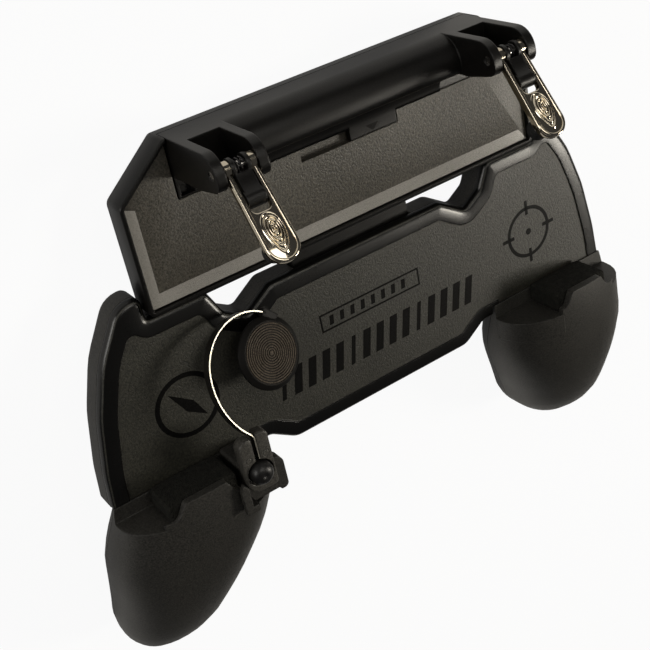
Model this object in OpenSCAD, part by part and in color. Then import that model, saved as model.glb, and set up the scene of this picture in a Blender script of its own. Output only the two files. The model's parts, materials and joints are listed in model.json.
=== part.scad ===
// Clip-on phone game controller: a base with two grips, a sprung clamp that holds the phone,
// two screen triggers on the clamp and a thumb pad on a steel band.
// Everything is drawn on the panel: X to the right, Y towards the clamp, Z out of the panel face.
// Each piece is then laid down with the grips and the clamp's rear edge on the table.

/* [Base] */
// Width of the base at its foot
base_w = 153; // [146:1:158]
// Thickness of the base, panel face to flat back
base_t = 8.8; // [8.4:0.1:11]
// Thickness of the front panel
panel_t = 2.1; // [1.6:0.1:2.4]
// Lower edge of the panel, below the reference line
panel_foot = 43.7; // [42.8:0.1:45]
// Height of the horns beside the clamp
horn_h = 9.4; // [8.4:0.1:10.4]
// Width of the smooth border round the textured field
border_w = 4.2; // [3:0.1:5]
// Depth of the textured field below the border
field_depth = 0.3; // [0.2:0.05:0.6]
// Half width of the middle tab between the notches
tab_half = 25.2; // [23:0.1:27]
// Depth of the notches beside the middle tab
notch_depth = 4.7; // [3:0.1:6]
// Radius on the outer edges of the base
base_edge = 1.8; // [0.8:0.1:2]

/* [Grips] */
// Length of a grip, lip to tip
grip_l = 61; // [54:1:66]
// Height of the grip's front above the panel face, at the lip
grip_front = 13.4; // [12.8:0.1:15]
// How far the front falls back from the lip to the tip
grip_front_drop = 26; // [20:0.5:30]
// Depth of the grip's back behind the panel face, at the lip
grip_back = 10.6; // [9.5:0.1:12]
// How far the back falls from the lip to the tip
grip_back_drop = 28; // [24:0.5:32]
// Place of the grip's inner side, in from the end of the base
grip_inner = 39.5; // [38:0.1:40.5]
// Slope of the inner side towards the tip
grip_taper = 0.52; // [0.4:0.01:0.6]
// How far the grip swells outside the base
grip_swell = 4.2; // [2:0.1:6]
// Length of the rounded tip
grip_tip = 15; // [12:0.5:20]

/* [Phone shelf] */
// Floor of the shelf, below the reference line
shelf_y = 40.3; // [39:0.1:41.5]
// Depth of the shelf, panel face to lip
shelf_d = 11.2; // [10.5:0.1:11.6]
// Width of the lip at its top
lip_w = 10.4; // [8:0.1:12]
// Height of the lip above the shelf floor
lip_h = 5.5; // [4.6:0.1:6.2]
// Middle of the lip and the foam pad, inwards from the end of the base
lip_in = 18.1; // [17.6:0.1:18.6]
// Width of the foam pad
pad_w = 17.6; // [14:0.1:17.8]
// Thickness of the foam pad
pad_t = 5; // [3:0.1:5.5]

/* [Clamp] */
// Width of the clamp
clamp_w = 110; // [104:0.5:112]
// Upper edge of the clamp, above the reference line
clamp_top = 40.7; // [39:0.1:43]
// Gap between the clamp and the base when it is closed
clamp_gap = 0.5; // [0.4:0.05:1]
// Depth of the clamp's back behind the panel face
clamp_back = 5.5; // [5.2:0.1:6]
// Height of the clamp's rim above the panel face
rim_z = 1.7; // [1.2:0.1:2.2]
// Thickness of the clamp's rim
rim_t = 1; // [0.8:0.05:1.5]
// Thickness of the clamp's floor
floor_t = 3; // [2.6:0.1:3.2]
// Height of the plate's face above the panel face
plate_z = 0.6; // [0.4:0.1:1]
// Width of the corner cut across the top corners
corner_w = 13; // [10:0.5:13.4]
// Height of the corner cut
corner_h = 10.5; // [8:0.5:11]
// Width of the tongue that slides in the base
tongue_w = 34; // [30:0.5:38]
// Thickness of the tongue
tongue_t = 2.4; // [2:0.1:2.6]
// Travel of the clamp
clamp_travel = 25; // [20:0.5:26]

/* [Hood] */
// Lower edge of the hood, above the reference line
hood_y = 26.8; // [26:0.1:27.5]
// Height of the roll's nose above the panel face
roll_z = 10; // [9:0.1:11]
// Width of the snap tab
snap_w = 13.4; // [10:0.1:14]
// Height of the snap tab
snap_h = 3.2; // [2.5:0.1:4]

/* [Triggers] */
// Middle of a trigger, from the middle of the clamp
trigger_x = 35.2; // [35:0.1:35.6]
// Width of the gap between a trigger's ears
ear_gap = 7.6; // [7.4:0.1:8.4]
// Thickness of an ear
ear_t = 2.2; // [1.8:0.1:2.4]
// Front of the ears above the panel face
ear_z = 21.6; // [21:0.1:24]
// Distance of the pin from the clamp's upper edge
pin_drop = 4.2; // [3.8:0.1:4.8]
// Distance of the pin from the front of the ears
pin_back = 2.4; // [2.2:0.1:3.2]
// Diameter of the pin
pin_d = 2; // [1.6:0.1:2.2]
// Length of the lever, pin to tip
lever_l = 21.6; // [19:0.1:24]
// Width of the lever at the finger pad
lever_w = 7.5; // [7.1:0.1:8.4]
// Thickness of the lever
lever_t = 1.8; // [1.4:0.1:2.2]
// Width of each arm of the fork
arm_w = 1.25; // [1:0.05:1.4]
// Lean of the lever away from the phone
lever_lean = 37.5; // [32:0.5:40]
// Diameter of the rubber foot
foot_d = 4.8; // [4:0.1:5.4]
// Length of the rubber foot
foot_l = 5; // [4:0.1:6]
// Wire of the torsion spring
coil_wire = 0.4; // [0.3:0.05:0.45]
// Turns of the torsion spring
coil_turns = 2.25; // [1.25:0.5:2.25]

/* [Joystick] */
// Place of the joystick's pivot, inwards from the grip's shoulder
pivot_in = 5.4; // [5.4:0.1:5.8]
// Place of the pivot above the shelf floor
pivot_rise = 2.8; // [2.6:0.1:2.9]
// Diameter of the pivot's shank
pivot_d = 3; // [2.4:0.1:3.4]
// Underside of the arm above the panel face
arm_z = 9.6; // [9.5:0.1:10.4]
// Thickness of the arm
arm_t = 3; // [2.8:0.1:3.4]
// Half width of the arm
arm_half = 3.9; // [3.8:0.05:4]
// Width of the slot that holds the band
slot_w = 1.3; // [1.1:0.1:1.6]
// Height of the tines above the pivot
tine_h = 10.1; // [9.4:0.1:11]
// Radius of the hoop's lower part, middle of the band
hoop_r = 18.3; // [17:0.1:20]
// Radius of the hoop's upper part
curl_r = 12.3; // [11.5:0.1:13]
// Thickness of the steel band
band_t = 0.4; // [0.3:0.05:0.5]
// Width of the steel band
band_w = 2.2; // [1.8:0.1:2.3]
// Gap between the band's end and the panel, which sets the hoop's lean
hoop_gap = 0.5; // [0.4:0.1:2]
// Diameter of the thumb pad
thumb_d = 17.2; // [15:0.1:18]
// Thickness of the thumb pad
thumb_t = 1.6; // [1.4:0.1:2]
// Number of round grooves in the thumb pad
thumb_grooves = 12; // [6:1:13]

/* [Hidden] */

$fn = 48;
fit = 0.05;        // radial clearance of a turning fit
tight = 0.02;      // radial clearance of a fixed fit
seam = 0.15;       // gap between mouldings of one body
run = 0.3;         // running gap between moving pieces
far = 200;         // reach of a cutting block
arc_step = 14;     // degrees between points on an outline's arcs
black = [0.09, 0.09, 0.095];
grain = [0.16, 0.155, 0.145];
foam = [0.13, 0.13, 0.125];
chrome = [0.82, 0.81, 0.78];
steel = [0.72, 0.72, 0.72];

base_half = base_w / 2;
grip_side = base_half - grip_inner;
clamp_half = clamp_w / 2;
notch_x = clamp_half + 0.4;
shoulder_y = 3.7;
tab_y = -1.3;
shell_top = -panel_t - seam;
clamp_foot = shoulder_y + clamp_gap;

// Vectors and outlines
function unit(v) = v / norm(v);
function mix(a, b, f) = a + (b - a) * f;
function ease(f) = let (c = max(0, min(1, f))) c * c * (3 - 2 * c);
function flip(p) = [for (i = [len(p) - 1 : -1 : 0]) [-p[i].x, p[i].y, p[i].z]];

// Points of one rounded corner b, between its neighbours a and c
function corner(a, b, c, r) =
  let (u = unit(a - b), v = unit(c - b), half = acos(u * v) / 2,
       m = b + unit(u + v) * r / sin(half),
       s = b + u * r / tan(half) - m, e = b + v * r / tan(half) - m,
       a0 = atan2(s.y, s.x), d = atan2(e.y, e.x) - a0,
       turn = d > 180 ? d - 360 : d < -180 ? d + 360 : d,
       n = max(2, ceil(abs(turn) / arc_step)))
  [for (i = [0 : n]) m + r * [cos(a0 + turn * i / n), sin(a0 + turn * i / n)]];

// Outline with a radius as the third number of each corner
function rounded(p) =
  [for (i = [0 : len(p) - 1])
    let (n = len(p), a = p[(i + n - 1) % n], b = p[i], c = p[(i + 1) % n])
    each b.z > 0 ? corner([a.x, a.y], [b.x, b.y], [c.x, c.y], b.z) : [[b.x, b.y]]];

// Outline moved inwards by d, for an outline that runs anticlockwise
function inset(p, d) =
  [for (i = [0 : len(p) - 1])
    let (n = len(p), u = unit(p[i] - p[(i + n - 1) % n]), v = unit(p[(i + 1) % n] - p[i]),
         a = [-u.y, u.x], b = [-v.y, v.x])
    p[i] + (a + b) * d / (1 + a * b)];

// Triangles that fill an outline, cut off ear by ear; only its inward corners can spoil an ear
function bend(a, b, c) = (b.x - a.x) * (c.y - b.y) - (b.y - a.y) * (c.x - b.x);
function holds(a, b, c, q) = q != a && q != b && q != c
  && bend(a, b, q) >= 0 && bend(b, c, q) >= 0 && bend(c, a, q) >= 0;
function next_ear(p, left, inward, k, tries = 0) =
  let (n = len(left), e = k % n, a = p[left[(e + n - 1) % n]], b = p[left[e]],
       c = p[left[(e + 1) % n]])
  tries > n || (bend(a, b, c) > 0 && len([for (i = inward) if (holds(a, b, c, p[i])) i]) == 0)
    ? e : next_ear(p, left, inward, k + 1, tries + 1);
function ears(p, left, inward, k = 0, done = []) =
  let (n = len(left), e = next_ear(p, left, inward, k))
  n == 3 ? concat(done, [left])
    : ears(p, [for (i = [0 : n - 1]) if (i != e) left[i]], inward, e,
        concat(done, [[left[(e + n - 1) % n], left[e], left[(e + 1) % n]]]));
function fill(p) =
  let (n = len(p))
  ears(p, [for (i = [0 : n - 1]) i],
    [for (i = [0 : n - 1]) if (bend(p[(i + n - 1) % n], p[i], p[(i + 1) % n]) <= 0) i]);

// Closed solid through rings of equal length; flat rings that aren't convex are filled by triangles
module skin(rings, convex = true) {
  n = len(rings[0]);
  m = len(rings);
  first = convex ? [[for (i = [0 : n - 1]) i]] : fill(rings[0]);
  last = convex ? first : fill(rings[m - 1]);
  polyhedron(
    points = [for (r = rings) each r],
    faces = concat(
      first, [for (t = last) [for (i = [len(t) - 1 : -1 : 0]) (m - 1) * n + t[i]]],
      [for (j = [0 : m - 2], i = [0 : n - 1])
        let (a = j * n + i, b = j * n + (i + 1) % n)
        each [[a, a + n, b + n], [a, b + n, b]]]));
}

// Turns across a rounded edge of radius r, more of them on a larger one
function edge_turns(r) = let (n = max(2, ceil(2 * r))) [for (i = [1 : n]) 90 * i / n];

// Plate over an outline, with rounded upper and lower edges
module soft_plate(p, z0, z1, top = 0, bottom = 0) {
  low = bottom > 0 ? [for (q = edge_turns(bottom))
    [bottom * (1 - cos(q)), z0 + bottom * (1 - sin(q))]] : [];
  high = top > 0 ? [for (q = edge_turns(top)) [top * (1 - cos(q)), z1 - top * (1 - sin(q))]] : [];
  n = len(low);
  levels = concat([for (i = [1 : 1 : n]) low[n - i]], [[0, z0 + bottom], [0, z1 - top]], high);
  skin([for (g = levels) [for (q = inset(p, g[0])) [q.x, q.y, g[1]]]], false);
}

// Outline (y, z) carried along X from x0 to x1
module along_x(p, x0, x1) {
  translate([x0, 0, 0]) rotate([90, 0, 90]) linear_extrude(x1 - x0) polygon(p);
}

module rod_x(x0, x1, r) {
  translate([x0, 0, 0]) rotate([0, 90, 0]) cylinder(h = x1 - x0, r = r);
}

module block(lo, hi) {
  translate(lo) cube(hi - lo);
}

// Base outline: foot, side, horn, shoulder, notch and middle tab. At the grips it runs on below the
// waist, where both plates are cut off square to stand against the grips.
waist_y = shelf_y - 3.9;
waist_cut = waist_y + base_edge + 1.2;
foot_x = grip_side - 9.8;
waist_x = grip_side - 0.3;
edge_r = base_edge + 0.3;   // least radius of an outer corner, so that its edge can be rounded
base_right = [
  [foot_x, -panel_foot, 5], [foot_x + 6.6, -waist_cut, 3], [base_half - 0.2, -waist_cut, 0],
  [base_half - 1.3, -28, 30], [base_half - 3.9, -14.5, 30], [base_half - 8, -2.5, 25],
  [notch_x + 5.9, horn_h - 0.2, 6], [notch_x, horn_h, edge_r],
  [notch_x, shoulder_y, 0.6], [tab_half + 15.4, shoulder_y, edge_r],
  [tab_half + 12.2, tab_y - 1.6, 2], [tab_half + 7.2, tab_y - notch_depth, 2],
  [tab_half, tab_y, 3]];
base_outline = rounded(concat(base_right, flip(base_right)));
module waist() {
  both_sides() block([waist_x, -far, -far], [far, -waist_y, far]);
}

// Grip: every measure is a function of the distance d below the lip's top
grip_y = -shelf_y + lip_h;
function grip_half_size(d) = d < grip_l - grip_tip ? 1
  : sqrt(max(0, 1 - pow((d - grip_l + grip_tip) / grip_tip, 2)));
function ramp(d, w) = (d + sqrt(d * d + w * w)) / 2;
function grip_in(d) = grip_side + grip_taper * ramp(d - 17, 6);
function grip_out(d) = base_half - 0.4 - 0.14 * max(0, -d) + grip_swell * ease(d / 22);
function grip_fore(d) = grip_front - grip_front_drop * pow(max(0, d) / grip_l, 2);
function grip_aft(d) = -grip_back - grip_back_drop * d / grip_l
  + grip_fillet * pow(max(0, 1 - (d - grip_root) / 11), 2);
function bulge(c) = sign(c) * pow(abs(c), 0.85);
function unbulge(s) = sign(s) * pow(abs(s), 1 / 0.85);
function grip_point(d, q) =
  let (x0 = grip_in(d), x1 = grip_out(d), z0 = grip_aft(d), z1 = grip_fore(d),
       f = grip_half_size(d))
  [(x0 + x1 + (x1 - x0) * f * bulge(cos(q))) / 2, grip_y - d,
   (z0 + z1 - (z1 - z0) * f * bulge(sin(q))) / 2];
grip_straight = grip_l - grip_tip;
grip_root = grip_y + waist_y + seam;   // where the rear half meets the foot of the base
grip_fillet = grip_back + grip_back_drop * grip_root / grip_l - base_t;
grip_end = grip_l - 0.06;
grip_levels = concat(
  [for (i = [0 : 10]) mix(grip_root, grip_straight, i / 10)],
  [for (q = [18 : 18 : 72]) grip_straight + grip_tip * sin(q)], [grip_end]);

// The parting plane runs from the panel's underside down to the middle of the tip
seam_slope = (panel_t + (grip_fore(grip_l) + grip_aft(grip_l)) / 2) / (grip_l - lip_h);
function parting(d, front) = -panel_t - (front ? 0 : seam) + seam_slope * (d - lip_h);

// Ring round one half of the grip, closed by a straight line on the parting plane
grip_steps = 20;
function half_ring(d, front) =
  let (z0 = grip_aft(d), z1 = grip_fore(d),
       s = ((z0 + z1) / 2 - parting(d, front)) * 2 / (z1 - z0) / grip_half_size(d),
       q = asin(unbulge(max(-0.9, min(0.9, s)))),
       start = front ? 180 - q : q, stop = front ? 360 + q : 180 - q)
  [for (i = [0 : grip_steps]) grip_point(d, mix(start, stop, i / grip_steps))];

// Grip on the right; the half in front of the parting plane, or the half behind it
module grip_part(front) {
  levels = front ? concat([-0.4], grip_levels) : grip_levels;
  skin([for (d = levels) half_ring(d, front)]);
}
grip_points = [for (d = grip_levels) each half_ring(d, false)];

// Lean of the whole object on the table: the steepest line from the clamp's rear edge to a grip
rest_edge = [clamp_top, -clamp_back];
lean = max([for (p = grip_points) atan2(rest_edge.y - p.z, rest_edge.x - p.y)]);
ear_round = 5;
rest_high_y = (clamp_top - ear_round) * cos(lean) + (ear_z - ear_round) * sin(lean) + ear_round;
rest_low_y = min([for (p = grip_points) p.y * cos(lean) + p.z * sin(lean)]);
rest_lift = rest_edge.x * sin(lean) - rest_edge.y * cos(lean);

module lie_down() {
  translate([0, -(rest_high_y + rest_low_y) / 2, rest_lift]) rotate([-lean, 0, 0]) children();
}

module both_sides() {
  children();
  mirror([1, 0, 0]) children();
}

// Screws: shank and countersunk pan head, head downwards at z = 0
screw_d = 2.2;
screw_head_d = 4;
screw_head_h = 1.4;
module screw(l) {
  cylinder(h = l, d = screw_d);
  cylinder(h = screw_head_h, d = screw_head_d);
}
module screw_hole(l) {
  translate([0, 0, -far]) cylinder(h = far + screw_head_h + seam, d = screw_head_d + 2 * run);
  cylinder(h = l + seam, d = screw_d + 2 * fit);
}
screw_sink = 0.8;   // depth of a screw head below the back
case_screw_l = base_t - screw_sink - panel_t - 1;
case_screw_rows = [6.4, 26.4];   // up from the foot of the base
case_screws_at = [for (x = [tongue_w / 2 + 8, base_half - 14], y = case_screw_rows) [x, y - waist_y]];

// Slide: channel for the tongue, grooves for the return springs
tongue_z = -clamp_back + 0.1;
tongue_foot = -36;
spring_x = 12;
spring_d = 1.8;
spring_foot = -panel_foot + 3.4;
lug_y = -31;
lug_l = 2.2;
groove_top = lug_y + lug_l + clamp_travel + run;   // stops the lug at the end of the travel
groove_z = tongue_z - spring_d - 2 * run;

module rear_shell() {
  color(black) lie_down() difference() {
    soft_plate(base_outline, -base_t, shell_top, bottom = base_edge);
    block([-tongue_w / 2 - run, tongue_foot - run, tongue_z - run], [tongue_w / 2 + run, far, 0]);
    both_sides() block([spring_x - spring_d / 2 - run, spring_foot, groove_z],
      [spring_x + spring_d / 2 + run, groove_top, 0]);
    both_sides() for (p = case_screws_at)
      translate([p.x, p.y, -base_t + screw_sink]) screw_hole(case_screw_l);
    waist();
  }
}

// Rear halves of the grips, standing against the foot of the base
module left_grip_shell() { color(black) lie_down() mirror([1, 0, 0]) grip_part(false); }
module right_grip_shell() { color(black) lie_down() grip_part(false); }

// Textured field: inside the border, and down to the waist behind the phone shelves
module field() {
  side = base_half - border_w;
  offset(r = 2) offset(delta = -border_w - 2) polygon(base_outline);
  both_sides() polygon([[grip_side + 2, -waist_cut], [side - 0.2, -waist_cut], [side - 1.9, -25],
    [grip_side + 2, -25]]);
}
module front_panel() {
  color(grain) lie_down() difference() {
    soft_plate(base_outline, -panel_t, 0, top = panel_t - 0.6);
    translate([0, 0, -field_depth]) linear_extrude(1) field();
    waist();
  }
}

// Upper edge of a grip cover: inner shoulder, low lip, raised lip, outer end
lip_x = base_half - lip_in;
shoulder_x = lip_x - lip_w / 2 - 3.55;
clip_floor = shelf_y + 6.5;
lip_low = shelf_y - 1.6;
lip_line = rounded([
  [0, -clip_floor, 0], [shoulder_x, -clip_floor, 1], [shoulder_x, -lip_low, 0.8],
  [lip_x - lip_w / 2 - 2, -lip_low, 1.5], [lip_x - lip_w / 2, grip_y, 1],
  [lip_x + lip_w / 2, grip_y, 1], [lip_x + lip_w / 2 + 2.4, -lip_low, 2],
  [far, -lip_low, 0], [far, far, 0], [0, far, 0]]);

module grip_cover() {
  difference() {
    grip_part(true);
    linear_extrude(far) polygon(lip_line);
    block([0, -shelf_y, 0], [far, far, shelf_d]);
    block([0, -waist_y - seam, -far], [far, far, seam]);
  }
}
module left_grip_cover() { color(black) lie_down() mirror([1, 0, 0]) grip_cover(); }
module right_grip_cover() { color(black) lie_down() grip_cover(); }

pad_gap = 0.2;
module foam_pad() {
  x0 = lip_x - pad_w / 2;
  x1 = lip_x + pad_w / 2;
  y0 = -shelf_y + pad_gap;
  y1 = y0 + pad_t;
  soft_plate(rounded([[x0, y0, 0.5], [x1, y0, 0.5], [x1, y1, 0.8], [x0, y1, 0.8]]),
    2 * pad_gap, shelf_d - 2 * pad_gap, top = 0.4, bottom = 0.4);
}
module left_foam_pad() { color(foam) lie_down() mirror([1, 0, 0]) foam_pad(); }
module right_foam_pad() { color(foam) lie_down() foam_pad(); }

module case_screws() {
  color(steel) lie_down() both_sides() for (p = case_screws_at)
    translate([p.x, p.y, -base_t + screw_sink]) screw(case_screw_l);
}

// Clamp outline, with both top corners cut across
clamp_right = [[clamp_half, clamp_foot, rim_t + 0.5], [clamp_half, clamp_top - corner_h, 2],
  [clamp_half - corner_w, clamp_top, 1.5]];
clamp_outline = rounded(concat(clamp_right, flip(clamp_right)));
floor_z = -clamp_back + floor_t;
hood_half = trigger_x + ear_gap / 2 + ear_t;
plate_edge = rim_t + seam;
clamp_screw_l = floor_t + 1.4;
clamp_screws_at = [[clamp_half - 8, clamp_foot + 6], [clamp_half - 8, hood_y - 4]];

module clamp_frame() {
  color(black) lie_down() difference() {
    union() {
      difference() {
        soft_plate(clamp_outline, -clamp_back, rim_z, top = 0.3, bottom = 0.6);
        translate([0, 0, floor_z]) linear_extrude(far) polygon(inset(clamp_outline, rim_t));
        block([-hood_half - seam, hood_y, floor_z], [hood_half + seam, far, far]);
      }
      block([-tongue_w / 2, tongue_foot, tongue_z],
        [tongue_w / 2, clamp_foot + rim_t, tongue_z + tongue_t]);
      both_sides() block([spring_x - spring_d / 2, lug_y, tongue_z - spring_d],
        [spring_x + spring_d / 2, lug_y + lug_l, tongue_z + tongue_t]);
    }
    both_sides() for (p = clamp_screws_at)
      translate([p.x, p.y, -clamp_back + screw_sink]) screw_hole(clamp_screw_l);
  }
}

// Height of the corner cut's inner side at x, for a rim of thickness t
function cut_y(x, t) = clamp_top - (x - clamp_half + corner_w) * corner_h / corner_w
  - t * norm([corner_w, corner_h]) / corner_w;
snap_x = 2.5;
slot_l = 13.4;

module clamp_plate() {
  side = clamp_half - plate_edge;
  inner = hood_half + 2 * seam;
  right = [[side, clamp_foot + plate_edge, 0.5], [side, cut_y(side, plate_edge), 0],
    [inner, cut_y(inner, plate_edge), 0], [inner, hood_y - seam, 0]];
  color(grain) lie_down() difference() {
    soft_plate(rounded(concat(right, flip(right))), floor_z + seam, plate_z, top = 0.2);
    block([snap_x - slot_l, hood_y - snap_h - seam, floor_z + 1.2],
      [snap_x + snap_w + seam, far, far]);
    both_sides() for (p = clamp_screws_at) translate([p.x, p.y, -clamp_back + screw_sink])
      cylinder(h = clamp_screw_l + seam, d = screw_d + 2 * fit);
  }
}

// Hood: roll in the middle, a block with two ears at each end
roll_profile = rounded([
  [hood_y, floor_z + seam, 0], [clamp_top, floor_z + seam, 0], [clamp_top, roll_z, 6.4],
  [clamp_top - 8.6, roll_z, 1.8], [hood_y + 3.8, plate_z, 5], [hood_y, plate_z, 0]]);
ear_foot = clamp_top - 8.9;
notch_z = 7.1;
notch_profile = [[hood_y, floor_z + seam], [clamp_top, floor_z + seam], [clamp_top, notch_z],
  [ear_foot, notch_z], [ear_foot, plate_z], [hood_y, plate_z]];
ear_profile = rounded([
  [ear_foot, floor_z + seam, 0], [clamp_top, floor_z + seam, 0], [clamp_top, ear_z, ear_round],
  [ear_foot + 1.4, ear_z, 2.4], [ear_foot, ear_z - 9, 6]]);
pin_y = clamp_top - pin_drop;
pin_z = ear_z - pin_back;
ear_in = trigger_x - ear_gap / 2;
ear_out = trigger_x + ear_gap / 2;

module clamp_hood() {
  color(black) lie_down() difference() {
    union() {
      along_x(roll_profile, -ear_in + ear_t, ear_in - ear_t);
      both_sides() {
        along_x(notch_profile, ear_in - ear_t, ear_out + ear_t);
        along_x(ear_profile, ear_in - ear_t, ear_in);
        along_x(ear_profile, ear_out, ear_out + ear_t);
      }
      block([snap_x + seam, hood_y - snap_h, plate_z - 1.4], [snap_x + snap_w, hood_y + 1, plate_z]);
    }
    both_sides() translate([0, pin_y, pin_z])
      rod_x(ear_in - ear_t - 1, ear_out + ear_t + 1, pin_d / 2 + tight);
    both_sides() block([ear_out - 1.7, hood_y + 0.4, plate_z - 1.2], [ear_out + 1.5, hood_y + 2.6, far]);
  }
}

module clamp_screws() {
  color(steel) lie_down() both_sides() for (p = clamp_screws_at)
    translate([p.x, p.y, -clamp_back + screw_sink]) screw(clamp_screw_l);
}

module return_spring() {
  y0 = spring_foot + pad_gap;
  translate([spring_x, y0, tongue_z - run - spring_d / 2]) rotate([-90, 0, 0])
    cylinder(h = lug_y - pad_gap - y0, d = spring_d);
}
module left_return_spring() { color(steel) lie_down() mirror([1, 0, 0]) return_spring(); }
module right_return_spring() { color(steel) lie_down() return_spring(); }

// Trigger: drawn with the pin along X at the origin and the lever hanging along -Y
module trigger(side, paint) {
  color(paint) lie_down() translate([side * trigger_x, pin_y, pin_z])
    rotate([-lever_lean, 0, 0]) children();
}

eye_r = pin_d / 2 + 0.9;
fork_half = ear_gap / 2 - run;
fork_in = fork_half - arm_w;
fork_crotch = 10.4;
module trigger_lever() {
  half = lever_w / 2;
  right = [[half, -lever_l, half - 0.1], [fork_half, 0, 0], [fork_in, 0, 0], [fork_in, -fork_crotch, 1.2]];
  difference() {
    union() {
      soft_plate(rounded(concat(right, flip(right))), -lever_t / 2, lever_t / 2,
        top = 0.4, bottom = 0.4);
      rod_x(fork_in, fork_half, eye_r);
      rod_x(-fork_half, -fork_in, eye_r);
    }
    rod_x(-fork_half - 1, fork_half + 1, pin_d / 2 + fit);
  }
}

block_half = fork_in - 0.1;
roller_y = -7;
roller_r = 1.9;
roller_z = -0.5;
hub_r = pin_d / 2 + 1.2;
coil_r = pin_d / 2 + 0.15 + coil_wire;
coil_pitch = coil_wire + 0.45;
coil_half = (coil_turns * coil_pitch + coil_wire) / 2 + 0.1;
module trigger_block() {
  web = [[-1.6, -1.5], [-1.2, 1.4], [roller_y, roller_z + roller_r - 0.3],
    [roller_y, roller_z - roller_r + 0.3]];
  difference() {
    union() {
      rod_x(-block_half, block_half, hub_r);
      translate([0, roller_y, roller_z]) rod_x(-block_half, block_half, roller_r);
      along_x(web, -block_half + 0.3, block_half - 0.3);
    }
    rod_x(-block_half - 1, block_half + 1, pin_d / 2 + fit);
    rod_x(-coil_half, coil_half, max(hub_r, coil_r + coil_wire) + 0.1);
  }
}

// Torsion spring: wire wound round the pin, one unbroken tube
coil_rings = ceil(coil_turns * 10);
function coil_point(q) = [(q / 360 - coil_turns / 2) * coil_pitch, coil_r * cos(q), coil_r * sin(q)];
function coil_ring(q) =
  let (m = coil_point(q), out = [0, cos(q), sin(q)],
       ahead = unit([coil_pitch / 360 * 180 / PI, -coil_r * sin(q), coil_r * cos(q)]),
       up = cross(ahead, out))
  [for (k = [0 : 60 : 300]) m + (out * cos(k) + up * sin(k)) * coil_wire / 2];
module trigger_spring() {
  skin([for (i = [0 : coil_rings]) coil_ring(360 * coil_turns * i / coil_rings)]);
}
echo(torsion_spring_gap = coil_pitch - coil_wire);

foot_y = -lever_l + 4;
module trigger_foot() {
  r = foot_d / 2;
  translate([0, foot_y, -lever_t / 2]) mirror([0, 0, 1]) rotate_extrude()
    polygon(rounded([[0, 0, 0], [r * 0.7, 0, 0], [r, foot_l * 0.45, 0], [r, foot_l, 1.2],
      [0, foot_l, 0]]));
}

module trigger_pin() {
  rod_x(-ear_gap / 2 - ear_t + 0.2, ear_gap / 2 + ear_t - 0.2, pin_d / 2);
}

module left_trigger_lever() { trigger(-1, chrome) trigger_lever(); }
module left_trigger_pin() { trigger(-1, steel) trigger_pin(); }
module left_trigger_block() { trigger(-1, black) trigger_block(); }
module left_trigger_spring() { trigger(-1, steel) trigger_spring(); }
module left_trigger_foot() { trigger(-1, foam) trigger_foot(); }
module right_trigger_lever() { trigger(1, chrome) trigger_lever(); }
module right_trigger_pin() { trigger(1, steel) trigger_pin(); }
module right_trigger_block() { trigger(1, black) trigger_block(); }
module right_trigger_spring() { trigger(1, steel) trigger_spring(); }
module right_trigger_foot() { trigger(1, foam) trigger_foot(); }

// Joystick: drawn round its pivot
pivot_x = shoulder_x - pivot_in;
pivot_y = shelf_y - pivot_rise;
module at_pivot() {
  lie_down() translate([-pivot_x, -pivot_y, 0]) children();
}

bracket_top = arm_z - run;
bracket_foot = pivot_y - clip_floor + seam;
bracket_head = 2.2;
cheek_w = 2.6;
finger_w = 1.9;
finger_z = grip_front + 0.2;
finger_t = 1.2;
module joystick_bracket() {
  right = arm_half + 1;
  wall = -pivot_in;                      // the notch's wall in the grip
  riser = wall + run;
  finger = wall + run + 0.3 - finger_w;
  foot = bracket_foot + 1.5;
  plate = rounded([[-arm_half, bracket_foot, 1], [right, bracket_foot, 1],
    [right, bracket_head, 2], [-arm_half, bracket_head, 1]]);
  cheek = rounded([[arm_half - 1, bracket_foot, 0], [right, bracket_foot, 0],
    [right + 0.6, bracket_foot - 0.8, 0.4], [right + cheek_w, bracket_foot - 0.8, 1.2],
    [right + cheek_w, -0.6, 2.4], [arm_half - 1, -0.6, 0]]);
  nib = [[finger, foot], [finger + finger_w, foot], [finger + finger_w, -1], [finger + finger_w / 2, 0.6],
    [finger, -1]];
  color(black) at_pivot() difference() {
    union() {
      translate([0, 0, seam]) linear_extrude(bracket_top - seam) polygon(plate);
      translate([0, 0, bracket_top - 3]) linear_extrude(3) polygon(cheek);
      block([riser, foot, bracket_top - 3], [-arm_half + 1, foot + 1.6, bracket_top]);
      block([riser, foot, bracket_top - 3], [riser + 1.8, foot + 1.6, finger_z + finger_t]);
      translate([0, 0, finger_z]) linear_extrude(finger_t) polygon(nib);
    }
    translate([0, 0, 2]) cylinder(h = far, d = pivot_d + 2 * tight);
  }
}

// The arm's heel is rounded, so that it clears the grip's shoulder as it swings. The left tine is lower
// and rounder, to clear the band's twist.
arm_foot = -5;
slot_right = 0.8;
slot_left = slot_right - slot_w;
recess_r = 3.4;
recess_z = arm_z + 1;
slot_foot = recess_r - 0.3;
module joystick_arm() {
  outline = rounded([
    [-arm_half, arm_foot, 3.6], [arm_half, arm_foot, 1], [arm_half, tine_h, 1.3], [slot_right, tine_h, 0.5],
    [slot_right, slot_foot, 0], [slot_left, slot_foot, 0], [slot_left, tine_h - 0.5, 0.9],
    [-arm_half, tine_h - 0.5, 2.2]]);
  color(black) at_pivot() difference() {
    soft_plate(outline, arm_z, arm_z + arm_t, top = 0.25, bottom = 0.25);
    translate([0, 0, arm_z - 1]) cylinder(h = arm_t + 2, d = pivot_d + 2 * fit);
    translate([0, 0, recess_z]) cylinder(h = arm_t, r = recess_r);
    for (p = rivets_at) translate([p.x, p.y, arm_z - 1])
      cylinder(h = arm_t + 2, d = rivet_d + 2 * tight);
  }
}

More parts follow.
